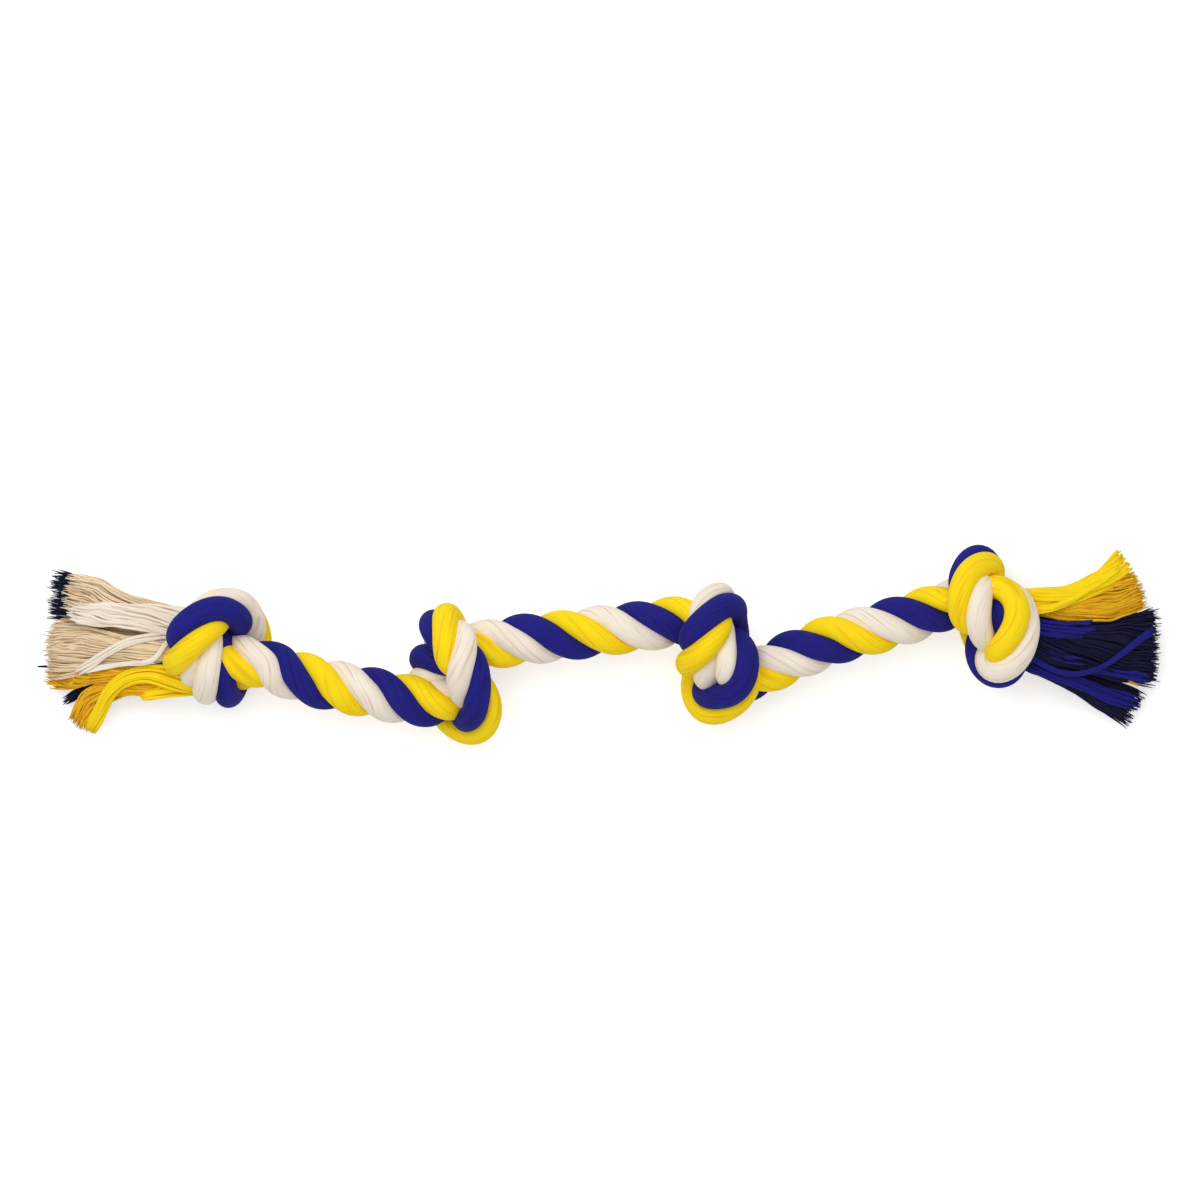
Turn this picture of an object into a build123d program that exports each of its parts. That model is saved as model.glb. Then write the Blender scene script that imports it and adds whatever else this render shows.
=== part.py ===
"""A length of three-strand cotton rope with four overhand knots and two frayed ends.

The rope lies along X on the plane Z = 0. Its centre line is a list of points chosen by hand: the
four knots are one overhand shape, placed and turned by a few values each, and the spans between
them have points of their own. Three strands are laid round that line. The rope bends in the
middle of each span, and its tassels swing at the ends.
"""

from build123d import *
import math
import os

# Driving sizes, in millimetres
STRAND_DIAMETER = 10.0
BEND_DIAMETER = 9.4  # of a strand where it bends, so that it clears the strands of the next body
SPAN_LAY_RADIUS = 7.9  # from the rope's centre to a strand's centre, between the knots
KNOT_LAY_RADIUS = 5.8  # the same inside a knot, where the strands are pulled together
LAY_LENGTH = 49.0  # length of rope in which a strand goes once round it, between the knots
ROOT_RADIUS = 5.0  # of a bundle of yarns or a lock, where it leaves its strand
ROOT_OVERLAP = 3.0  # how far a bundle's root reaches back into the end of its strand

# How the strands are worked out from the route
POINTS_PER_ROW = 2  # points of a strand for each row of the route
CARRY_STEPS = 8  # steps in which the frame is carried from one row to the next
ARC_SHARE = 0.45  # share of the shorter run that the arc at a corner takes up
BEND_ROWS = 2  # rows of the route to each side of a bend's middle that bend with it
FULL_TURN = 360

STRAND_ANGLES = {"blue": 0, "cream": 120, "yellow": 240}  # round the rope, in degrees

# One overhand knot as half of its centre line, from its middle out. The other half is the same
# turned half round the Y axis. The numbers are shares of a knot's size.
HALF_KNOT = [
    (0.00, 0.00, 0.00),
    (-0.36, -0.02, 0.66),
    (-0.84, -0.48, 1.30),
    (-1.04, -1.36, 1.28),
    (-0.80, -2.04, 0.38),
    (-0.22, -1.72, -0.50),
    (0.42, -0.96, -0.42),
    (1.10, -0.90, -0.16),
]
KNOT_AXIS = -0.95  # Y of the straight rope through the knot, as a share of its size

# Each knot: its place, its size, how far it is drawn out along the rope, its turns in degrees, and
# the blue strand's angle at each of its points, counted from straight up at the first of them. A
# nudge moves one point by millimetres.
KNOTS = [
    {
        "at": (-188, -1, 34),
        "size": 17.0,
        "along": 1.0,
        "roll": -10,
        "heading": -35,
        "nudges": {
            2: (-1, 0, 0),
            3: (-3, 2, 0),
            4: (-5, 1, 0),
            5: (-3, 0, 0),
            6: (-1, 3, -2),
            7: (-2, 3, -2),
            10: (1, 0, 0),
            11: (2, 0, 0),
            12: (-4, 0, 0),
            13: (-7, 4, -4),
            14: (-1, 4, 5),
        },
        "angles": (-165, -130, -85, -55, 0, 55, 120, 190, 255, 322, 380, 475, 565, 645, 720),
    },
    {
        "at": (-72, -15, 31),
        "size": 17.5,
        "along": 0.9,
        "roll": 130,
        "heading": 52,
        "nudges": {0: (0, 1, 0)},
        "angles": (-223, -110, 20, 130, 220, 290, 425, 490, 550, 625, 680, 750, 850, 950, 1029),
    },
    {
        "at": (60, -4, 32),
        "size": 17.5,
        "along": 0.9,
        "roll": -50,
        "heading": -50,
        "nudges": {
            2: (9, -1, 0),
            3: (14, 3, 0),
            4: (1, 0, -2),
            5: (-8, 3, 0),
            6: (-5, 0, 0),
            7: (-3, 0, 0),
            8: (-9, 3, 0),
            9: (-7, 0, 0),
            10: (-3, 1, 0),
            11: (4, 1, 0),
            12: (2, 2, 0),
        },
        "angles": (120, 200, 285, 365, 450, 500, 530, 545, 555, 565, 610, 720, 821, 913, 1005),
    },
    {
        "at": (194, 15, 31),
        "size": 17.0,
        "along": 0.9,
        "roll": -110,
        "heading": -20,
        "nudges": {
            2: (1, 0, 1),
            3: (3, 3, -2),
            4: (1, 1, 0),
            9: (5, 0, 3),
            10: (3, -2, 0),
            11: (-4, 0, 0),
            12: (-4, 0, 0),
        },
        "angles": (145, 105, 62, 60, 140, 275, 380, 460, 525, 575, 650, 730, 820, 910, 988),
    },
]

# The rest of the rope's centre line: each end, and the spans between the knots
LEFT_END = [(-251, 2, 29), (-242, 3, 30), (-233, 4, 31), (-224, 6, 33), (-214, 9, 36)]
SPANS = [
    [
        (-163, -11, 34),
        (-153, -15, 35),
        (-143, -18, 35),
        (-136, -20, 34),
        (-128, -21, 34),
        (-120, -23, 34),
        (-113, -24, 33),
        (-104, -26, 32),
        (-93, -28, 31),
    ],
    [
        (-51, 1, 33),
        (-38, 3, 34),
        (-23, 4, 33),
        (-15, 5, 33),
        (-8, 6, 33),
        (-1, 7, 33),
        (7, 8, 33),
        (20, 9, 34),
        (36, 12, 34),
    ],
    [
        (83, -12, 31),
        (97, -5, 32),
        (110, 0, 33),
        (117, 3, 33),
        (125, 5, 33),
        (133, 7, 33),
        (140, 9, 33),
        (153, 13, 32),
        (166, 17, 31),
    ],
]
RIGHT_END = [(222, 3, 31), (230, 2, 30), (239, 2, 30), (248, 2, 29), (257, 2, 28)]

# The tassels: strand, kind, place of the cut end, half its width and half its height
LEFT_TASSEL = [
    ("cream", "yarns", (-275, 20, 19), 12, 7),
    ("cream", "lock", (-278, -5, 20), 15, 7),
    ("blue", "yarns", (-276, 28, 7), 11, 6),
    ("blue", "lock", (-272, 3, 7), 10, 6),
    ("yellow", "yarns", (-275, -17, 8), 12, 7),
    ("yellow", "lock", (-266, -38, 8), 10, 7),
]
RIGHT_TASSEL = [
    ("yellow", "yarns", (274, 30, 18), 14, 7),
    ("yellow", "lock", (270, 22, 7), 11, 6),
    ("blue", "yarns", (280, -2, 21), 20, 8),
    ("blue", "lock", (278, -30, 9), 10, 8),
    ("cream", "yarns", (268, -8, 7), 12, 6),
    ("cream", "lock", (262, 5, 7), 10, 6),
]


def knot_points(knot):
    """A knot's points: the half shape and its mirror, turned, sized, put in place and nudged."""
    half = [Vector(*point) - Vector(0, KNOT_AXIS, 0) for point in HALF_KNOT]
    other = [Vector(-p.X, p.Y, -p.Z) for p in reversed(half[1:])]
    points = []
    for number, p in enumerate(other + half):
        drawn = Vector(p.X * knot["along"], p.Y, p.Z) * knot["size"]
        turned = drawn.rotate(Axis.X, knot["roll"]).rotate(Axis.Z, knot["heading"])
        nudge = Vector(*knot["nudges"].get(number, (0, 0, 0)))
        points.append(turned + Vector(*knot["at"]) + nudge)
    return points


def route():
    """The route's points and the lay radius at each, and the point at which each stretch starts."""
    stretches = {"left_end": (LEFT_END, SPAN_LAY_RADIUS)}
    for number, knot in enumerate(KNOTS, start=1):
        stretches[f"knot_{number}"] = (knot_points(knot), KNOT_LAY_RADIUS)
        if number < len(KNOTS):
            stretches[f"span_{number}"] = (SPANS[number - 1], SPAN_LAY_RADIUS)
    stretches["right_end"] = (RIGHT_END, SPAN_LAY_RADIUS)
    points, lays, starts = [], [], {}
    for name, (stretch, lay) in stretches.items():
        starts[name] = len(points)
        points += [Vector(*point) for point in stretch]
        lays += [lay] * len(stretch)
    return points, lays, starts


def blend(values, i, t):
    """A value near row i of the route, with t from -0.5 to 0.5.

    Three rows share it by the quadratic weights of a B-spline, so the rope's line passes through
    the middle of each run and rounds each row's corner.
    """
    weights = (0.5 - t) ** 2 / 2, 0.75 - t * t, (0.5 + t) ** 2 / 2
    before, here, after = (value * weight for value, weight in zip(values[i - 1 : i + 2], weights))
    return before + here + after


def stations(values):
    """The values at every carried step, from the second row of the route to the last but one."""
    steps = [(step + 0.5) / CARRY_STEPS - 0.5 for step in range(CARRY_STEPS)]
    return [blend(values, i, t) for i in range(1, len(values) - 1) for t in steps]


def carried_frames(places):
    """For each place its direction, and a side that is carried along the line without turning."""
    frames, side = [], Vector(0, 0, 1)
    for k in range(len(places)):
        ahead = (places[min(k + 1, len(places) - 1)] - places[max(k - 1, 0)]).normalized()
        side = (side - ahead * side.dot(ahead)).normalized()
        frames.append((ahead, side))
    return frames


def upward_angle(frame):
    """The angle at which straight up stands in a carried frame, in degrees."""
    ahead, side = frame
    return math.degrees(math.atan2(ahead.cross(side).Z, side.Z))


def blue_angles(points, starts, frames):
    """The blue strand's angle in the carried frame at each row, in degrees.

    A knot's own angles are counted from straight up at its first row. Each span gets the whole
    turns that bring its lay nearest to LAY_LENGTH, and shares its angle evenly along it.
    """
    reach = [0.0]
    for before, here in zip(points, points[1:]):
        reach.append(reach[-1] + (here - before).length)
    turning = FULL_TURN / LAY_LENGTH
    known = {}
    for number, knot in enumerate(KNOTS, start=1):
        first = starts[f"knot_{number}"]
        start = knot["angles"][0] + upward_angle(frames[(first - 1) * CARRY_STEPS + CARRY_STEPS // 2])
        if number == 1:
            known[0] = start - turning * reach[first]
        else:
            last = first - len(SPANS[number - 2]) - 1
            wanted = known[last] + turning * (reach[first] - reach[last])
            start += FULL_TURN * round((wanted - start) / FULL_TURN)
        for place, angle in enumerate(knot["angles"]):
            known[first + place] = start + angle - knot["angles"][0]
    known[len(points) - 1] = known[starts["right_end"] - 1] + turning * (
        reach[-1] - reach[starts["right_end"] - 1]
    )
    angles, rows = [], sorted(known)
    for before, after in zip(rows, rows[1:]):
        rise = (known[after] - known[before]) / (reach[after] - reach[before])
        angles += [known[before] + rise * (reach[i] - reach[before]) for i in range(before, after)]
    return [*angles, known[rows[-1]]]


def strand_points(points, lays, starts):
    """The points of each strand's centre line, laid round the route."""
    places = stations(points)
    frames = carried_frames(places)
    angles = stations(blue_angles(points, starts, frames))
    lays = stations(lays)
    every = CARRY_STEPS // POINTS_PER_ROW
    laid = {strand: [] for strand in STRAND_ANGLES}
    for k in range(every // 2, len(places), every):
        ahead, side = frames[k]
        across = ahead.cross(side)
        for strand, turn in STRAND_ANGLES.items():
            a = math.radians(angles[k] + turn)
            laid[strand].append(places[k] + (side * math.cos(a) + across * math.sin(a)) * lays[k])
    return laid


def points_before(row):
    """How many of a strand's points come before a row, where the strand can be cut."""
    return POINTS_PER_ROW * (row - 1) + POINTS_PER_ROW // 2


def cut_point(points, row):
    """Where a strand is cut at a row: the middle of the run that crosses it."""
    k = points_before(row)
    return (points[k - 1] + points[k]) / 2


def section(points, first, last):
    """One strand's points from one row to another, cut in the middle of a run at both ends."""
    inner = points[points_before(first) : points_before(last)]
    return [cut_point(points, first), *inner, cut_point(points, last)]


def arc_radii(points):
    """At each corner, the radius of the arc that takes up its share of the shorter run."""
    radii = []
    for before, here, after in zip(points, points[1:], points[2:]):
        half_turn = math.radians((here - before).get_angle(after - here)) / 2
        shorter = min((here - before).length, (after - here).length)
        radii.append(ARC_SHARE * shorter / math.tan(half_turn))
    return radii


def strand_tube(name, points, diameter):
    """A round tube along straight runs joined by tangent arcs."""
    radii = arc_radii(points)
    with BuildPart() as tube:
        with BuildLine() as line:
            FilletPolyline(*points, radius=radii)
        with BuildSketch(Plane(origin=points[0], z_dir=points[1] - points[0])):
            Circle(diameter / 2)
        sweep()
    length = sum(edge.length for edge in line.edges())
    share = tube.part.volume / (math.pi * (diameter / 2) ** 2 * length)
    print(f"{name}: length {length:.1f}, tightest {min(radii):.1f}, volume share {share:.3f}")
    write(name, tube)


def bundle(name, root, tip, half_width, half_height):
    """A bundle of yarns or a lock: round at its root, and spread into a flat oval at its cut end."""
    outward = Vector(math.copysign(1, tip[0]), 0, 0)
    start = root - outward * ROOT_OVERLAP
    with BuildPart() as piece:
        with BuildSketch(Plane(origin=start, x_dir=(0, 1, 0), z_dir=outward)):
            Circle(ROOT_RADIUS)
        with BuildSketch(Plane(origin=tip, x_dir=(0, 1, 0), z_dir=outward)):
            Ellipse(half_width, half_height)
        loft()
    write(name, piece)


def write(name, piece):
    """Name a finished piece and write its file."""
    piece.part.label = name
    export_step(piece.part, f"parts/{name}.step")


os.makedirs("parts", exist_ok=True)
POINTS, LAYS, STARTS = route()
LAID = strand_points(POINTS, LAYS, STARTS)
LEFT, RIGHT = STARTS["left_end"], STARTS["right_end"]

# The rows between which each section runs. A span's and a neck's joint is at its middle row.
SECTIONS = {"left_neck": (LEFT + 1, LEFT + 3), "right_neck": (RIGHT + 1, RIGHT + 3)}
for number in range(1, len(KNOTS)):
    bend = STARTS[f"span_{number}"] + len(SPANS[number - 1]) // 2
    SECTIONS[f"span_{number}"] = (bend - BEND_ROWS, bend + BEND_ROWS)
for number in range(1, len(KNOTS) + 1):
    before = SECTIONS.get(f"span_{number - 1}", SECTIONS["left_neck"])
    after = SECTIONS.get(f"span_{number}", SECTIONS["right_neck"])
    SECTIONS[f"knot_{number}"] = (before[1], after[0])

for part_name, (first_row, last_row) in SECTIONS.items():
    width = STRAND_DIAMETER if part_name.startswith("knot") else BEND_DIAMETER
    for strand in STRAND_ANGLES:
        strand_tube(f"{part_name}_{strand}_strand", section(LAID[strand], first_row, last_row), width)

for side, tassel, row in (("left", LEFT_TASSEL, LEFT + 1), ("right", RIGHT_TASSEL, RIGHT + 3)):
    for strand, kind, tip, half_width, half_height in tassel:
        root = cut_point(LAID[strand], row)
        bundle(f"{side}_tassel_{strand}_{kind}", root, tip, half_width, half_height)

for part_name, (first_row, last_row) in SECTIONS.items():
    print(f"{part_name} has its middle at {POINTS[(first_row + last_row) // 2]}")
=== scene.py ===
"""A knotted three-strand cotton rope with frayed ends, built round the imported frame.

The rope's centre line is a NURBS spline with the points of the CAD model's route as its control
points, a few of them moved in knots 1 and 2. Three soft cotton strands are laid round that line,
and at both ends each strand opens into its core yarns and the soft locks of its cover.
"""

import math

import bpy
import numpy as np
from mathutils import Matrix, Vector

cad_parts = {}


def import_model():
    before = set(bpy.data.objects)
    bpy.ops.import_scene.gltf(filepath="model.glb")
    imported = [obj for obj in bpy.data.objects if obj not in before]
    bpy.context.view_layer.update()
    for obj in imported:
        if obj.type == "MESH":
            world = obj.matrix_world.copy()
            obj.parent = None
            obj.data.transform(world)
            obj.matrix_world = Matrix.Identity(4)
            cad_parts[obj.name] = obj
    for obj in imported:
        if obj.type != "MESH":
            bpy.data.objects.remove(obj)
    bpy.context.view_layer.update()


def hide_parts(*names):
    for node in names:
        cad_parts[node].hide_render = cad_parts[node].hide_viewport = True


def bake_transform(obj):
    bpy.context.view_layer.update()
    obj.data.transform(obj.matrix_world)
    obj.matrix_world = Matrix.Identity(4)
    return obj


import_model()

# ---------------------------------------------------------------------------
# The route, in metres: the CAD model's points and angles, but in knot 1 points 2, 3, 13 and 14 lie
# up to 8 mm from its own and angles 1, 2, 3, 12, 13 and 14 differ, and knot 2 is 0.3 mm higher
# ---------------------------------------------------------------------------
STRAND_RADIUS = 0.0061  # of a soft strand between the knots
STRAND_WIDE, STRAND_HIGH = 1.04, 0.97  # a pressed strand's half ways, as shares of its radius
SPAN_LAY = 0.0071  # from the rope's centre to a strand's centre, between the knots
KNOT_LAY = 0.0061  # the same inside a knot, where the strands are pulled together
END_LAY = 0.0030  # the same where the strands open into yarns
LAY_LENGTH = 0.049  # length of rope in which a strand goes once round it
STEPS_PER_ROW = 12  # points of the smooth line for each point of the route
FULL_TURN = 360

STRAND_ANGLES = {"blue": 0, "cream": 120, "yellow": 240}  # round the rope, in degrees

# Half of an overhand knot's centre line, from its middle out, as shares of the knot's size
HALF_KNOT = np.array(
    [
        (0.00, 0.00, 0.00),
        (-0.36, -0.02, 0.66),
        (-0.84, -0.48, 1.30),
        (-1.04, -1.36, 1.28),
        (-0.80, -2.04, 0.38),
        (-0.22, -1.72, -0.50),
        (0.42, -0.96, -0.42),
        (1.10, -0.90, -0.16),
    ]
)
KNOT_AXIS = -0.95  # Y of the straight rope through the knot, as a share of its size

# Each knot: its place, size, how far it is drawn out, its turns in degrees, and the blue strand's
# angle at each of its points, counted from straight up at the first of them
KNOTS = [
    {
        "at": (-0.188, -0.001, 0.034),
        "size": 0.017,
        "along": 1.0,
        "roll": -10,
        "heading": -35,
        "nudges": {
            2: (-0.003, 0, 0),
            3: (-0.005, 0.003, 0),
            4: (-0.005, 0.001, 0),
            5: (-0.003, 0, 0),
            6: (-0.001, 0.003, -0.002),
            7: (-0.002, 0.003, -0.002),
            10: (0.001, 0, 0),
            11: (0.002, 0, 0),
            12: (-0.004, 0, 0),
            13: (-0.007, 0.003, 0.004),
            14: (-0.005, 0.004, 0.009),
        },
        "angles": (-165, -145, -138, -85, 0, 55, 120, 190, 255, 322, 380, 475, 555, 622, 704),
    },
    {
        "at": (-0.072, -0.015, 0.0313),
        "size": 0.0175,
        "along": 0.9,
        "roll": 130,
        "heading": 52,
        "nudges": {0: (0, 0.001, 0)},
        "angles": (-223, -110, 20, 130, 220, 290, 425, 490, 550, 625, 680, 750, 850, 950, 1029),
    },
    {
        "at": (0.060, -0.004, 0.032),
        "size": 0.0175,
        "along": 0.9,
        "roll": -50,
        "heading": -50,
        "nudges": {
            2: (0.009, -0.001, 0),
            3: (0.014, 0.003, 0),
            4: (0.001, 0, -0.002),
            5: (-0.008, 0.003, 0),
            6: (-0.005, 0, 0),
            7: (-0.003, 0, 0),
            8: (-0.009, 0.003, 0),
            9: (-0.007, 0, 0),
            10: (-0.003, 0.001, 0),
            11: (0.004, 0.001, 0),
            12: (0.002, 0.002, 0),
        },
        "angles": (120, 200, 285, 365, 450, 500, 530, 545, 555, 565, 610, 720, 821, 913, 1005),
    },
    {
        "at": (0.194, 0.015, 0.031),
        "size": 0.017,
        "along": 0.9,
        "roll": -110,
        "heading": -20,
        "nudges": {
            2: (0.001, 0, 0.001),
            3: (0.003, 0.003, -0.002),
            4: (0.001, 0.001, 0),
            9: (0.005, 0, 0.003),
            10: (0.003, -0.002, 0),
            11: (-0.004, 0, 0),
            12: (-0.004, 0, 0),
        },
        "angles": (145, 105, 62, 60, 140, 275, 380, 460, 525, 575, 650, 730, 820, 910, 988),
    },
]

# The rest of the centre line: each end, and the spans between the knots
LEFT_END = [
    (-0.251, 0.002, 0.029),
    (-0.242, 0.003, 0.030),
    (-0.233, 0.004, 0.031),
    (-0.224, 0.006, 0.033),
    (-0.214, 0.009, 0.036),
]
SPANS = [
    [
        (-0.163, -0.011, 0.034),
        (-0.153, -0.015, 0.035),
        (-0.143, -0.018, 0.035),
        (-0.136, -0.020, 0.034),
        (-0.128, -0.021, 0.034),
        (-0.120, -0.023, 0.034),
        (-0.113, -0.024, 0.033),
        (-0.104, -0.026, 0.032),
        (-0.093, -0.028, 0.031),
    ],
    [
        (-0.051, 0.001, 0.033),
        (-0.038, 0.003, 0.034),
        (-0.023, 0.004, 0.033),
        (-0.015, 0.005, 0.033),
        (-0.008, 0.006, 0.033),
        (-0.001, 0.007, 0.033),
        (0.007, 0.008, 0.033),
        (0.020, 0.009, 0.034),
        (0.036, 0.012, 0.034),
    ],
    [
        (0.083, -0.012, 0.031),
        (0.097, -0.005, 0.032),
        (0.110, 0.000, 0.033),
        (0.117, 0.003, 0.033),
        (0.125, 0.005, 0.033),
        (0.133, 0.007, 0.033),
        (0.140, 0.009, 0.033),
        (0.153, 0.013, 0.032),
        (0.166, 0.017, 0.031),
    ],
]
RIGHT_END = [
    (0.222, 0.003, 0.031),
    (0.230, 0.002, 0.030),
    (0.239, 0.002, 0.030),
    (0.248, 0.002, 0.029),
    (0.257, 0.002, 0.028),
]


def turned(points, axis, degrees):
    """Points turned about an axis through the origin: each pair of the other two coordinates is
    multiplied by the cosines and sines of the angle, by the right-hand rule."""
    c, s = math.cos(math.radians(degrees)), math.sin(math.radians(degrees))
    first, second = (axis + 1) % 3, (axis + 2) % 3
    out = points.copy()
    out[:, first] = c * points[:, first] - s * points[:, second]
    out[:, second] = s * points[:, first] + c * points[:, second]
    return out


def knot_points(knot):
    """A knot's points: the half shape and its copy turned half round Y, drawn out, sized, turned
    about X and Z, put in place and nudged."""
    half = HALF_KNOT - (0, KNOT_AXIS, 0)
    other = half[:0:-1] * (-1, 1, -1)
    points = np.vstack([other, half]) * (knot["along"], 1, 1) * knot["size"]
    points = turned(turned(points, 0, knot["roll"]), 2, knot["heading"]) + knot["at"]
    for number, nudge in knot["nudges"].items():
        points[number] += nudge
    return points


def route():
    """The route's points, the lay radius at each, and the point at which each stretch starts."""
    stretches = {"left_end": (np.array(LEFT_END), END_LAY)}
    for number, knot in enumerate(KNOTS, start=1):
        stretches[f"knot_{number}"] = (knot_points(knot), KNOT_LAY)
        if number < len(KNOTS):
            stretches[f"span_{number}"] = (np.array(SPANS[number - 1]), SPAN_LAY)
    stretches["right_end"] = (np.array(RIGHT_END), END_LAY)
    starts, count = {}, 0
    for name, (points, _) in stretches.items():
        starts[name] = count
        count += len(points)
    points = np.vstack([points for points, _ in stretches.values()])
    lays = np.concatenate([np.full(len(points), lay) for points, lay in stretches.values()])
    return points, lays, starts


def spline_line(points):
    """The smooth line of a NURBS spline of order 3 that has the points as its control points."""
    curve = bpy.data.curves.new("route", "CURVE")
    curve.dimensions = "3D"
    spline = curve.splines.new("NURBS")
    spline.points.add(len(points) - 1)
    spline.points.foreach_set("co", np.c_[points, np.ones(len(points))].ravel())
    spline.order_u = 3
    spline.use_endpoint_u = True
    spline.resolution_u = STEPS_PER_ROW
    holder = bpy.data.objects.new("route", curve)
    mesh = bpy.data.meshes.new_from_object(holder)
    line = np.empty(len(mesh.vertices) * 3)
    mesh.vertices.foreach_get("co", line)
    bpy.data.objects.remove(holder)
    bpy.data.curves.remove(curve)
    bpy.data.meshes.remove(mesh)
    return line.reshape(-1, 3)


def shared(values, rows):
    """A value at each place along the route: three neighbouring rows share it by the quadratic
    weights of a B-spline, (0.5-t)^2/2, 0.75-t^2 and (0.5+t)^2/2."""
    values = np.asarray(values, float)
    i = np.clip(np.rint(rows).astype(int), 1, len(values) - 2)
    t = rows - i
    return (
        values[i - 1] * (0.5 - t) ** 2 / 2
        + values[i] * (0.75 - t * t)
        + values[i + 1] * (0.5 + t) ** 2 / 2
    )


def unit(vectors):
    """Vectors divided by their lengths."""
    return vectors / np.linalg.norm(vectors, axis=-1, keepdims=True)


def carried_frames(line):
    """At each point of a line: its direction, and a side that is carried along it from straight
    up, losing at each step only what lies along the line."""
    ahead = unit(np.gradient(line, axis=0))
    side = np.empty_like(line)
    carried = np.array([0.0, 0.0, 1.0])
    for k, direction in enumerate(ahead):
        carried = unit(carried - direction * carried.dot(direction))
        side[k] = carried
    return ahead, side


def blue_angles(points, starts, upward):
    """The blue strand's angle at each row. A knot's angles are counted from straight up at its
    first row; a span gets the whole turns that bring its lay nearest to LAY_LENGTH."""
    reach = np.r_[0, np.cumsum(np.linalg.norm(np.diff(points, axis=0), axis=1))]
    turning = FULL_TURN / LAY_LENGTH
    known = {}
    for number, knot in enumerate(KNOTS, start=1):
        first = starts[f"knot_{number}"]
        start = knot["angles"][0] + upward[first]
        if number == 1:
            known[0] = start - turning * reach[first]
        else:
            last = first - len(SPANS[number - 2]) - 1
            wanted = known[last] + turning * (reach[first] - reach[last])
            start += FULL_TURN * round((wanted - start) / FULL_TURN)
        for place, angle in enumerate(knot["angles"]):
            known[first + place] = start + angle - knot["angles"][0]
    last = starts["right_end"] - 1
    known[len(points) - 1] = known[last] + turning * (reach[-1] - reach[last])
    rows = sorted(known)
    return np.interp(reach, reach[rows], [known[row] for row in rows])


POINTS, LAYS, STARTS = route()
LINE = spline_line(POINTS)
ROWS = np.linspace(0.5, len(POINTS) - 1.5, len(LINE))
AHEAD, SIDE = carried_frames(LINE)
ACROSS = np.cross(AHEAD, SIDE)
UPWARD = np.degrees(np.arctan2(ACROSS[:, 2], SIDE[:, 2]))
UPWARD_AT_ROWS = UPWARD[np.searchsorted(ROWS, np.arange(len(POINTS))).clip(0, len(ROWS) - 1)]
BLUE = shared(blue_angles(POINTS, STARTS, UPWARD_AT_ROWS), ROWS)
LAY = shared(LAYS, ROWS)


def outward(strand):
    """The direction from the rope's centre to a strand's centre, at each point of the line: the
    side and the across direction, added by the cosine and the sine of the strand's angle."""
    angle = np.radians(BLUE + STRAND_ANGLES[strand])[:, None]
    return SIDE * np.cos(angle) + ACROSS * np.sin(angle)


STRAND_LINES = {strand: LINE + outward(strand) * LAY[:, None] for strand in STRAND_ANGLES}


# ---------------------------------------------------------------------------
# Colours and materials
# ---------------------------------------------------------------------------
def linear(hex_colour):
    """An sRGB hex colour as linear values, with an alpha of 1."""
    values = [int(hex_colour[i : i + 2], 16) / 255 for i in (1, 3, 5)]
    return [v / 12.92 if v <= 0.04045 else ((v + 0.055) / 1.055) ** 2.4 for v in values] + [1.0]


def add(tree, kind, links=(), **settings):
    """Adds a node: links are (input, socket that feeds it); a setting names a property, or an
    input when there is no such property."""
    node = tree.nodes.new(kind)
    for name, value in settings.items():
        if hasattr(node, name):
            setattr(node, name, value)
        else:
            node.inputs[name.replace("_", " ")].default_value = value
    for name, socket in links:
        tree.links.new(socket, node.inputs[name])
    return node


FIBRE_MM = 0.35
MOTTLE_MM = 12
CREASE_SLANT = 7  # degrees between the creases and the strand
CREASE_STRETCH = 0.07  # a crease's width as a share of its length
RELIEF = 0.0002  # height of the creases and fibres, in metres


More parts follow.
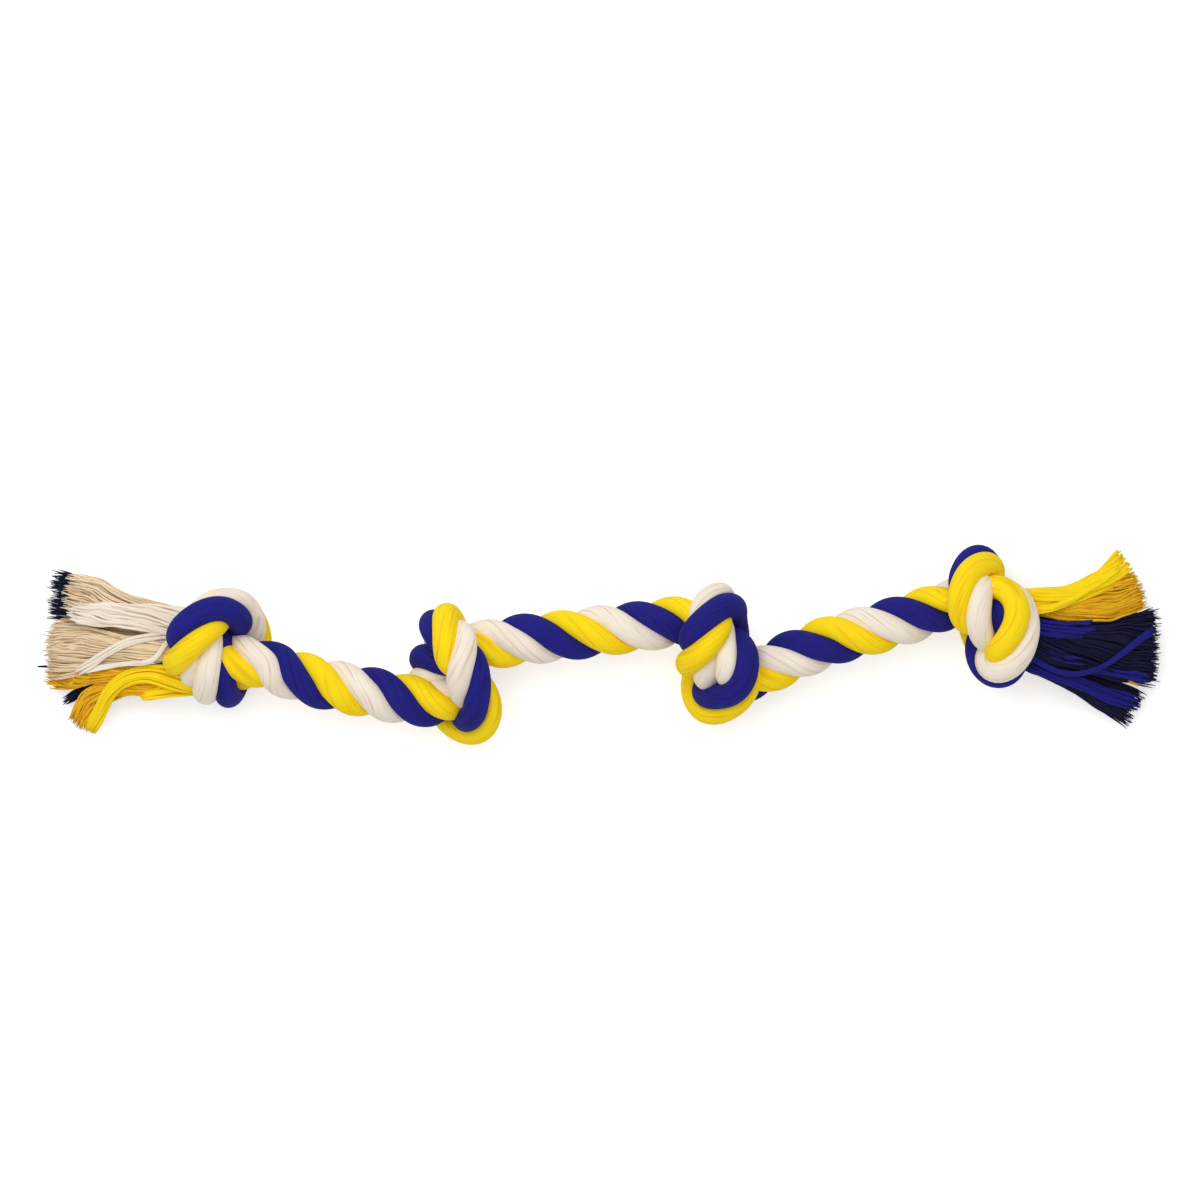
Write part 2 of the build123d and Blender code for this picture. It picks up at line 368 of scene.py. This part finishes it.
def cotton(name, light, crease_shade, fuzz, crease_mm, crease_depth, sheen):
    """Cotton that follows a strand. UV runs along it and round it, in metres.

    Long soft creases run along the strand, crease_mm apart, with painted shade in their deep parts,
    and fine fibres lie between them. Real fibres are finer; these are as coarse as they need to be
    to show.
    A slow mottling varies the dye. The finish is matt, with a faint sheen from the loose fibres.
    """
    material = bpy.data.materials.new(name)
    material.use_nodes = True
    tree = material.node_tree
    tree.nodes.clear()
    uv = add(tree, "ShaderNodeUVMap", uv_map="UVMap")
    where = add(tree, "ShaderNodeTexCoord")
    turn = add(
        tree,
        "ShaderNodeMapping",
        links=[("Vector", uv.outputs["UV"])],
        Rotation=(0, 0, math.radians(CREASE_SLANT)),
        Scale=(CREASE_STRETCH, 1, 1),
    )
    creases = add(
        tree,
        "ShaderNodeTexNoise",
        links=[("Vector", turn.outputs["Vector"])],
        Scale=1000 / crease_mm,
        Detail=2.0,
        Roughness=0.5,
    )
    fibres = add(
        tree,
        "ShaderNodeTexNoise",
        links=[("Vector", turn.outputs["Vector"])],
        Scale=1000 / FIBRE_MM,
        Detail=3.0,
        Roughness=0.6,
    )
    mottle = add(
        tree,
        "ShaderNodeTexNoise",
        links=[("Vector", where.outputs["Object"])],
        Scale=1000 / MOTTLE_MM,
        Detail=2.0,
    )
    # Painted shade: this mask is low in the deep parts of the creases, where the darker colour is
    # painted
    crease_shade_mask = add(
        tree,
        "ShaderNodeMapRange",
        links=[("Value", creases.outputs["Fac"])],
        **{"From_Min": 0.30, "From_Max": 0.46},
    )
    dye = add(
        tree,
        "ShaderNodeMapRange",
        links=[("Value", mottle.outputs["Fac"])],
        **{"From_Min": 0.3, "From_Max": 0.7, "To_Min": 0.75, "To_Max": 1.0},
    )
    # Painted crease shade times the random dye mottle: 0 gives the darker shade colour, 1 the
    # cotton's own colour
    share = add(
        tree,
        "ShaderNodeMath",
        links=[(0, crease_shade_mask.outputs["Result"]), (1, dye.outputs["Result"])],
        operation="MULTIPLY",
    )
    colour = add(
        tree,
        "ShaderNodeMix",
        data_type="RGBA",
        links=[("Factor", share.outputs["Value"])],
    )
    # The darker colour, painted as shade in the creases
    colour.inputs[6].default_value = linear(crease_shade)
    colour.inputs[7].default_value = linear(light)
    heights = add(
        tree,
        "ShaderNodeMath",
        links=[(0, creases.outputs["Fac"]), (2, fibres.outputs["Fac"])],
        operation="MULTIPLY_ADD",
    )
    heights.inputs[1].default_value = crease_depth
    bump = add(
        tree,
        "ShaderNodeBump",
        links=[("Height", heights.outputs["Value"])],
        Strength=fuzz,
        Distance=RELIEF,
    )
    surface = add(
        tree,
        "ShaderNodeBsdfPrincipled",
        links=[
            ("Base Color", colour.outputs[2]),
            ("Normal", bump.outputs["Normal"]),
        ],
        Roughness=0.85,
    )
    surface.inputs["Specular IOR Level"].default_value = 0.25
    surface.inputs["Sheen Weight"].default_value = sheen
    surface.inputs["Sheen Roughness"].default_value = 0.5
    surface.inputs["Sheen Tint"].default_value = linear(light)
    add(tree, "ShaderNodeOutputMaterial", links=[("Surface", surface.outputs["BSDF"])])
    return material


# In COVER and CORE the second colour of each cotton is painted shade for the deep parts of its
# creases
COVER = {
    "blue": cotton("soft_blue_cotton", "#1A1880", "#100F4A", 0.35, 1.7, 1.3, 0.15),
    "cream": cotton("soft_cream_cotton", "#F7ECDD", "#DDC9AE", 0.4, 1.7, 1.3, 0.08),
    "yellow": cotton("soft_yellow_cotton", "#FFDF10", "#EDBD0A", 0.35, 1.7, 1.3, 0.08),
}
CORE = {
    "blue": cotton("navy_yarn", "#101338", "#07081A", 0.8, 0.8, 2.0, 0.1),
    "cream": cotton("ecru_yarn", "#F6E0BC", "#B48C54", 0.8, 0.8, 2.0, 0.1),
    "yellow": cotton("mustard_yarn", "#F6BE1C", "#B87A08", 0.8, 0.8, 2.0, 0.1),
}


# ---------------------------------------------------------------------------
# Meshes
# ---------------------------------------------------------------------------
def grid_mesh(name, rings, along, around, material):
    """Closed tubes from rings: rings is tubes x stations x points round x 3. Quads join each ring
    to the next, a fan of one face closes each end, and the UV map holds metres along and round."""
    tubes, stations, sides, _ = rings.shape
    number = np.arange(tubes * stations * sides).reshape(tubes, stations, sides)
    onward = np.roll(number, -1, axis=2)
    quads = np.stack([number[:, :-1], onward[:, :-1], onward[:, 1:], number[:, 1:]], axis=-1)
    quads = quads.reshape(-1, 4)
    caps = np.vstack([number[:, 0, ::-1], number[:, -1]])
    mesh = bpy.data.meshes.new(name)
    mesh.vertices.add(rings.size // 3)
    mesh.vertices.foreach_set("co", rings.ravel())
    corners = np.concatenate([quads.ravel(), caps.ravel()])
    sizes = np.r_[np.full(len(quads), 4), np.full(len(caps), sides)]
    mesh.loops.add(len(corners))
    mesh.loops.foreach_set("vertex_index", corners.astype(np.int32))
    mesh.polygons.add(len(sizes))
    mesh.polygons.foreach_set("loop_start", (np.cumsum(sizes) - sizes).astype(np.int32))
    mesh.polygons.foreach_set("use_smooth", np.ones(len(sizes), dtype=bool))
    mesh.update(calc_edges=True)
    u = np.broadcast_to(along[:, :, None], number.shape)
    v = np.broadcast_to(around, number.shape)
    step = around[..., 1:2] - around[..., :1]
    flat = np.stack([u.ravel()[corners], v.ravel()[corners]], axis=1)
    seam = np.zeros(len(corners), dtype=bool)
    last = np.arange(sides) == sides - 1
    closing = np.broadcast_to(last, (tubes, stations - 1, sides)).reshape(-1)
    seam[: len(quads) * 4].reshape(-1, 4)[closing, 1:3] = True
    flat[seam, 1] += float(np.max(step)) * sides
    layer = mesh.uv_layers.new(name="UVMap")
    layer.data.foreach_set("uv", flat.astype(np.float32).ravel())
    mesh.materials.append(material)
    piece = bpy.data.objects.new(name, mesh)
    bpy.context.collection.objects.link(piece)
    return piece


def tube_rings(lines, first, second, widths, heights, sides):
    """Rings of ellipses: each centre plus the first direction times the cosine and the second
    times the sine of an angle that goes once round, each by its own half width. The angle starts
    opposite the second direction, so the seam of the UV map is on the hidden side."""
    angle = np.linspace(-math.pi / 2, 1.5 * math.pi, sides, endpoint=False)
    return (
        lines[:, :, None]
        + first[:, :, None] * (widths[..., None] * np.cos(angle))[..., None]
        + second[:, :, None] * (heights[..., None] * np.sin(angle))[..., None]
    )


# ---------------------------------------------------------------------------
# Strands: one piece for each stretch between two knots' middles
# ---------------------------------------------------------------------------
SIDES = 40
CLOSING = np.array([0.995, 0.93, 0.7, 0.25])  # how a strand's end closes inside the next piece
KNOT_MIDDLE = 7  # the row of a knot's middle
THINNING = 0.6  # how much of its thickness a strand loses where it opens into yarns
LEFT_CUT, LEFT_THINS = -0.7, 0.6  # rows from knot 1: where a strand ends, and starts to thin
RIGHT_CUT, RIGHT_THINS = -0.3, -1.6  # the same from the start of the right end

def station(row):
    """The number of the line's point nearest to a row of the route."""
    return int(np.argmin(np.abs(ROWS - row)))


def strand_piece(name, strand, first, last, thinned, closed):
    """A strand from one station to another: an ellipse whose wide way lies round the rope, since
    the strands press each other flat. thinned are stations between which it thins into its yarns;
    closed says which ends close inside the next piece."""
    before = len(CLOSING) if closed[0] else 0
    after = len(CLOSING) if closed[1] else 0
    chosen = np.arange(first - before, last + after + 1)
    line = STRAND_LINES[strand][chosen]
    out = outward(strand)[chosen]
    ahead = unit(np.gradient(line, axis=0))
    across = unit(np.cross(ahead, out))
    out = np.cross(across, ahead)
    size = np.ones(len(chosen))
    if before:
        size[:before] = CLOSING[::-1]
    if after:
        size[-after:] = CLOSING
    if thinned:
        begin, end = thinned
        share = np.clip((chosen - begin) / (end - begin), 0, 1)
        size *= 1 - THINNING * share
    along = np.r_[0, np.cumsum(np.linalg.norm(np.diff(line, axis=0), axis=1))]
    rings = tube_rings(
        line[None],
        across[None],
        out[None],
        (STRAND_RADIUS * STRAND_WIDE * size)[None],
        (STRAND_RADIUS * STRAND_HIGH * size)[None],
        SIDES,
    )
    around = np.arange(SIDES) * 2 * math.pi * STRAND_RADIUS / SIDES
    piece = grid_mesh(name, rings, along[None], around[None, None], COVER[strand])
    return piece, STRAND_LINES[strand][first : last + 1]


BODIES = ["tassel_left", "knot_1", "knot_2", "knot_3", "knot_4", "tassel_right"]
BENDS = ["left_neck", "span_1", "span_2", "span_3", "right_neck"]
KNOT_MIDDLES = [STARTS[f"knot_{k}"] + KNOT_MIDDLE for k in (1, 2, 3, 4)]


def build_strands():
    for number, bend in enumerate(BENDS):
        thinned = None
        if number == 0:
            first = station(STARTS["knot_1"] + LEFT_CUT)
            thinned = station(STARTS["knot_1"] + LEFT_THINS), first
        else:
            first = station(KNOT_MIDDLES[number - 1])
        if number == len(BENDS) - 1:
            last = station(STARTS["right_end"] + RIGHT_CUT)
            thinned = station(STARTS["right_end"] + RIGHT_THINS), last
        else:
            last = station(KNOT_MIDDLES[number])
        for strand in STRAND_ANGLES:
            name = f"{bend}_{strand}"
            closed = number > 0, number < len(BENDS) - 1
            piece, path = strand_piece(name, strand, first, last, thinned, closed)
            knots = [body for body in BODIES[number : number + 2] if body.startswith("knot")]
            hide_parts(f"{bend}_{strand}_strand", *(f"{k}_{strand}_strand" for k in knots))
            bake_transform(piece)


build_strands()


# ---------------------------------------------------------------------------
# Tassels: the yarns of each strand's core, and the soft locks of its cover
# ---------------------------------------------------------------------------
MM = 0.001
STATIONS = 28  # rings along a yarn
FLOOR_GAP = 0.0004  # between the lowest yarns and the surface that the rope lies on

# Each piece is a list of bundles. A bundle has its number of yarns, the yarns' half thickness,
# how far they wave, how unevenly they are cut, and its own line from the root to the cut end:
# X, Y, Z, half its width and half its height at each point, in millimetres.
TASSELS = {
    "left_tassel_cream_yarns": [
        (150, 0.48, 1.7, 0.12, [
            (-204, 13, 35, 5, 4), (-222, 16, 33, 5.5, 4), (-240, 20, 28, 6.5, 4),
            (-255, 25, 23, 8, 4), (-270, 28, 18, 10, 3),
        ]),
        (280, 0.48, 1.8, 0.08, [
            (-204, 0, 37, 6, 5), (-220, -2, 34, 6, 5), (-236, -2, 30, 6.5, 5),
            (-250, -1, 25, 9, 4.5), (-264, -3, 19, 12, 4), (-279, -3, 13, 13, 3),
        ]),
        (110, 0.48, 1.4, 0.12, [
            (-204, 6, 28, 5, 4), (-225, 6, 23, 6, 4), (-245, 7, 17, 7, 4), (-262, 9, 12, 8, 4),
            (-276, 9, 9, 9, 3),
        ]),
    ],
    "left_tassel_cream_lock": [
        (64, 0.75, 1.3, 0.15, [
            (-204, 11, 40, 7, 3), (-220, 12.5, 38, 7.5, 3), (-236, 14, 34, 7, 3),
            (-252, 15, 29, 5.5, 2.5), (-268, 17, 23, 4.5, 2),
        ]),
        (4, 0.9, 0.3, 0.05, [
            (-209, 3, 43, 0.5, 0.5), (-216, 1.5, 42.5, 0.6, 0.5), (-220, -5, 40.5, 0.6, 0.5),
            (-226, -9.2, 37, 0.7, 0.5), (-238, -9.2, 33, 0.8, 0.5), (-250, -11, 28, 1, 0.5),
            (-262, -13.5, 23, 1, 0.5),
        ]),
        (6, 0.8, 0.4, 0.12, [
            (-206, 6, 38, 1.5, 0.6), (-222, 4.5, 38.5, 1.5, 0.6), (-236, 2, 36, 1.5, 0.6),
            (-246, -3.5, 32, 1.5, 0.6), (-256, -10.5, 27, 1.8, 0.6), (-267, -15, 20, 2.5, 0.6),
        ]),
        (12, 1.2, 0.3, 0.2, [
            (-204, -4, 37, 4, 3), (-212, -5.5, 35, 4, 3), (-222, -7, 32, 2, 1.5),
        ]),
    ],
    "left_tassel_blue_yarns": [
        (170, 0.48, 1.6, 0.08, [
            (-204, 9, 27, 6, 5), (-224, 13, 23, 6, 5), (-244, 19, 18, 7, 5), (-260, 24, 15, 10, 5),
            (-277.5, 26, 10, 13, 4.5),
        ]),
        (16, 0.5, 0.6, 0.07, [
            (-204, -8, 24, 2, 2), (-236, -14, 18, 2, 2), (-256, -20, 11, 2, 2),
            (-270.5, -29, 6, 2, 1.5),
        ]),
        (2, 0.5, 0.2, 0.02, [
            (-204, -6, 22, 1, 1), (-240, -9, 17, 1, 1), (-262, -10.5, 12, 0.6, 0.5),
            (-284, -10.7, 10, 0.6, 0.5),
        ]),
    ],
    "left_tassel_blue_lock": [
        (18, 1.1, 0.6, 0.1, [
            (-204, 3, 22, 5, 3), (-228, 0, 14, 5, 3), (-250, -3, 8, 6, 2.5), (-271, -4, 5, 7, 2),
        ]),
    ],
    "left_tassel_yellow_yarns": [
        (150, 0.48, 1.5, 0.08, [
            (-204, -14, 31, 4, 4), (-222, -15, 28, 4.5, 4), (-240, -14, 24, 4.5, 4),
            (-254, -15, 19, 5.5, 4), (-266, -15, 14, 7, 3.5), (-278.5, -12, 9, 8.5, 3),
        ]),
        (120, 0.48, 1.4, 0.06, [
            (-212, -20, 30, 3, 3), (-229, -22, 26, 3.5, 3), (-241, -21, 22, 4, 3),
            (-251, -25, 17, 6, 3), (-257, -33, 12, 6.5, 3), (-261.5, -42, 8, 6, 2.5),
        ]),
    ],
    "left_tassel_yellow_lock": [
        (46, 0.95, 0.5, 0.04, [
            (-194, -15, 30, 6, 3), (-205, -17.5, 33.5, 6.5, 3.5), (-215, -16, 35, 6, 3.5),
            (-226, -14, 32, 4.5, 3), (-238, -17, 28.5, 3.5, 2.5), (-246, -24, 24, 2.8, 2),
            (-251, -34, 17, 2.6, 1.8), (-257.5, -44, 10, 3.2, 1.6),
        ]),
        (28, 0.95, 0.3, 0.05, [
            (-194, -18, 28, 6, 3), (-206, -20, 30, 6, 3), (-217, -22.5, 30, 4.2, 2.5),
            (-230, -26.5, 27, 1.2, 1.2),
        ]),
        (8, 0.7, 0.8, 0.1, [
            (-228, -13, 30, 1.5, 0.8), (-240, -12.5, 27, 1.5, 0.8), (-250, -13, 23.5, 1.5, 0.8),
            (-261, -17, 18.5, 2, 0.8), (-271, -20, 13, 2.5, 0.8),
        ]),
    ],
    "right_tassel_yellow_yarns": [
        (240, 0.48, 1.5, 0.07, [
            (209, 19, 33, 5, 4.5), (228, 17.5, 31, 6, 4.5), (243, 19, 27, 7.5, 4.5),
            (257, 22.5, 22, 9, 4), (273, 28, 16, 9.5, 3),
        ]),
        (2, 0.6, 0.2, 0.02, [
            (209, 0, 26, 1, 1), (240, -9, 22, 1, 1), (271, -20.3, 17.5, 0.6, 0.5),
        ]),
    ],
    "right_tassel_yellow_lock": [
        (66, 0.9, 0.7, 0.08, [
            (207, 21, 38, 6.5, 3.5), (222, 22.5, 37, 6, 3.5), (236, 25, 33, 4.5, 3),
            (248, 31, 28, 4.5, 2.5), (257, 36, 22, 6, 2.5), (266, 42, 17, 8.5, 2.5),
        ]),
        (8, 0.9, 0.3, 0.1, [
            (214, 16.5, 40, 2, 1), (229, 19, 38.5, 1.2, 0.8), (240, 25, 34.5, 1, 0.7),
            (252, 33, 28, 1.2, 0.7), (262, 39.5, 22, 1.6, 0.7),
        ]),
    ],
    "right_tassel_blue_yarns": [
        (420, 0.48, 1.7, 0.07, [
            (207, 3, 35, 11, 7), (222, 2, 33, 12, 7), (240, 0, 27, 12.5, 6.5), (255, -1, 22, 15, 5),
            (268, -1.5, 17, 17.5, 4.5), (281, -1.5, 13, 19.5, 4),
        ]),
        (190, 0.48, 1.3, 0.08, [
            (208, -6, 30, 4, 3), (224, -12, 26, 5, 3.5), (240, -18, 19, 6, 4), (255, -25, 12, 8, 4),
            (271, -34, 7, 9.5, 3),
        ]),
    ],
    "right_tassel_blue_lock": [
        (30, 0.8, 0.8, 0.4, [
            (207, 8, 38, 6, 2.5), (222, 8, 38.5, 6, 2.5), (236, 7.5, 34, 4.5, 1.8),
            (254, 9.5, 27, 4, 1),
        ]),
        (5, 0.85, 0.2, 0.02, [
            (211, -3, 39, 1, 0.7), (218, -8.5, 38, 1, 0.7), (228, -13.5, 36, 0.9, 0.7),
            (239, -15, 33.5, 0.9, 0.7), (251, -11.5, 31, 0.9, 0.7), (262, -4, 27, 1, 0.7),
            (271, 3, 22, 1.5, 0.7), (279, 8, 18, 2.5, 0.7),
        ]),
        (12, 0.7, 0.6, 0.4, [
            (209, -1, 38, 3, 1.2), (222, -4, 37, 3.5, 1.2), (244, -7.5, 31, 4, 0.8),
        ]),
        (20, 0.85, 0.6, 0.08, [
            (212, -10, 31, 2.5, 1.5), (227, -15.5, 29, 2, 1.5), (241, -19.5, 24.5, 2.5, 1.2),
            (256, -25.5, 18, 3.5, 1.2), (272, -30.5, 11, 3.5, 1.2),
        ]),
        (8, 0.75, 0.6, 0.1, [
            (244, -12, 28.5, 2, 0.8), (261, -15.5, 23, 2.5, 0.8), (277, -17.5, 17, 3, 0.8),
        ]),
    ],
    "right_tassel_cream_yarns": [
        (90, 0.5, 1.0, 0.08, [
            (209, -3, 24, 5, 4), (228, -3, 16, 5, 4), (248, -3, 9, 7, 3.5), (266, -4, 5, 10, 2.5),
        ]),
    ],
    "right_tassel_cream_lock": [
        (16, 1.1, 0.5, 0.1, [
            (207, -7, 25, 5, 3), (217, -7, 20, 5, 3), (240, 2, 12, 6, 3), (262, 5, 5, 8, 2),
        ]),
    ],
}


def drawn(rows, places):
    """A smooth curve that follows rows of numbers, each column shared by the weights of a
    quadratic B-spline. A row mirrored past each end keeps the ends where they are."""
    rows = np.asarray(rows, float)
    rows = np.vstack([2 * rows[0] - rows[1], rows, 2 * rows[-1] - rows[-2]])
    places = 1 + places * (len(rows) - 3)
    return np.stack([shared(column, places) for column in rows.T], axis=-1)


def bundle(rng, count, half_thickness, wave, uneven, rows, flat):
    """Rings of all the yarns of a bundle.

    A yarn keeps its own place in the bundle's oval, sqrt(a) times the cosine and sine of b for
    random a and b, while the oval turns with what is left of the strand's twist, 100 degrees times
    exp(-4 s) at share s of the length. Two sine waves move it to each side and up, more towards
    its cut end, and neighbours wave nearly alike because the phases follow the place.
    """
    reach = 1 - uneven * rng.random(count) ** 0.7
    share = np.linspace(0, 1, STATIONS) * reach[:, None]
    middle = drawn(rows, share)
    centre, half_width, half_height = middle[..., :3] * MM, middle[..., 3] * MM, middle[..., 4] * MM
    ahead = unit(np.gradient(centre, axis=1))
    side = unit(np.cross(ahead, (0.0, 0.0, 1.0)))
    up = np.cross(side, ahead)

    radius, angle = np.sqrt(rng.random(count)), rng.random(count) * 2 * math.pi
    angle = angle[:, None] + math.radians(100) * np.exp(-4 * share)
    u, v = radius[:, None] * np.cos(angle), radius[:, None] * np.sin(angle)
    sideways, upwards = u * half_width, v * half_height
    for turns, size in ((1.1, 0.7), (2.6, 0.4), (5.5, 0.15)):
        phase = 3.0 * u + 2.0 * v + rng.normal(0, 0.5, (2, count, 1))
        swing = wave * MM * size * (0.15 + share**1.3)
        sideways = sideways + swing * np.sin(2 * math.pi * turns * share + phase[0])
        upwards = upwards + swing * 0.6 * np.cos(2 * math.pi * turns * share + phase[1])
    fray = rng.normal(0, 0.9 * wave * MM, (2, count, 1)) * share**5
    centre = centre + side * (sideways + fray[0])[..., None] + up * (upwards + fray[1])[..., None]
    thick = half_thickness * MM * rng.uniform(0.85, 1.15, (count, 1)) * np.ones(STATIONS)
    centre[..., 2] = np.maximum(centre[..., 2], thick + FLOOR_GAP)

    ahead = unit(np.gradient(centre, axis=1))
    side = unit(np.cross(ahead, (0.0, 0.0, 1.0)))
    up = np.cross(side, ahead)
    ends = np.clip(np.minimum(np.arange(STATIONS), np.arange(STATIONS)[::-1]) / 1.5, 0.35, 1)
    rings = tube_rings(centre, side, up, thick * ends, thick * ends * flat, 8 if flat < 1 else 6)
    steps = np.diff(centre, axis=1, prepend=centre[:, :1])
    along = np.cumsum(np.linalg.norm(steps, axis=2), axis=1)
    return rings, along


def build_tassels():
    """Builds the twelve pieces of the two tassels."""
    for number, (name, bundles) in enumerate(TASSELS.items()):
        rng = np.random.default_rng(100 + number)
        side, _, strand, kind = name.split("_")
        flat = 0.55 if kind == "lock" else 1
        made = [bundle(rng, *settings, flat) for settings in bundles]
        rings = np.concatenate([rings for rings, _ in made])
        along = np.concatenate([along for _, along in made]) + rng.random((len(rings), 1))
        sides = rings.shape[2]
        thick = max(settings[1] for settings in bundles) * MM
        around = np.arange(sides) * 2 * math.pi * thick / sides + rng.random((len(rings), 1, 1))
        cloth = COVER if kind == "lock" else CORE
        piece = grid_mesh(name, rings, along, around, cloth[strand])
        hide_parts(name)
        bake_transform(piece)


build_tassels()


# ---------------------------------------------------------------------------
# Floor, light and camera
# ---------------------------------------------------------------------------
FLOOR_HALF = 4.0
FLOOR_GLOW = 0.42  # what the floor adds to its own light for the camera, so that it looks white
FILL_LIGHT = 0.62
LAMP_PLACE, LAMP_SIZE, LAMP_POWER = (-0.25, 0.45, 1.3), 1.1, 9.5
CAMERA_HEIGHT = 3.33
ROPE_HEIGHT = 0.03  # of the rope's middle over the floor
FRAME_WIDTH = 0.6
FRAME_MIDDLE = (0.0, 0.0225)
SENSOR_MM = 36


def stage():
    """A pale floor that the camera sees as white, with the object's shadow on it."""
    mesh = bpy.data.meshes.new("floor")
    h = FLOOR_HALF
    mesh.from_pydata([(-h, -h, 0), (h, -h, 0), (h, h, 0), (-h, h, 0)], [], [(0, 1, 2, 3)])
    floor = bpy.data.objects.new("floor", mesh)
    bpy.context.collection.objects.link(floor)
    material = bpy.data.materials.new("white_paper")
    material.use_nodes = True
    tree = material.node_tree
    tree.nodes.clear()
    rays = add(tree, "ShaderNodeLightPath")
    paper = add(tree, "ShaderNodeBsdfDiffuse", Color=linear("#F4F4F4"))
    glow = add(tree, "ShaderNodeEmission", Color=(1, 1, 1, 1), Strength=FLOOR_GLOW)
    both = add(
        tree,
        "ShaderNodeAddShader",
        links=[(0, paper.outputs["BSDF"]), (1, glow.outputs["Emission"])],
    )
    seen = add(
        tree,
        "ShaderNodeMixShader",
        links=[
            ("Fac", rays.outputs["Is Camera Ray"]),
            (1, paper.outputs["BSDF"]),
            (2, both.outputs["Shader"]),
        ],
    )
    add(tree, "ShaderNodeOutputMaterial", links=[("Surface", seen.outputs["Shader"])])
    mesh.materials.append(material)


def lamp(name, place, size, power):
    """A square area lamp at a place, turned to the middle of the rope."""
    light = bpy.data.lights.new(name, "AREA")
    light.size = size
    light.energy = power
    holder = bpy.data.objects.new(name, light)
    holder.location = place
    aim = Vector((0, 0, 0.02)) - Vector(place)
    holder.rotation_euler = aim.to_track_quat("-Z", "Y").to_euler()
    bpy.context.collection.objects.link(holder)


def world():
    """Soft even light from all round, seen as white."""
    made = bpy.data.worlds.new("studio")
    made.use_nodes = True
    background = made.node_tree.nodes["Background"]
    background.inputs["Color"].default_value = (1, 1, 1, 1)
    background.inputs["Strength"].default_value = FILL_LIGHT
    bpy.context.scene.world = made


def camera():
    """A long lens straight above the rope, as wide as the frame at the height of the rope."""
    data = bpy.data.cameras.new("camera")
    data.sensor_width = SENSOR_MM
    data.lens = SENSOR_MM * (CAMERA_HEIGHT - ROPE_HEIGHT) / FRAME_WIDTH
    data.clip_start = 0.1
    data.clip_end = 20
    holder = bpy.data.objects.new("camera", data)
    holder.location = (*FRAME_MIDDLE, CAMERA_HEIGHT)
    bpy.context.collection.objects.link(holder)
    bpy.context.scene.camera = holder


stage()
world()
lamp("overhead", LAMP_PLACE, LAMP_SIZE, LAMP_POWER)
camera()
bpy.context.scene.view_settings.view_transform = "Standard"
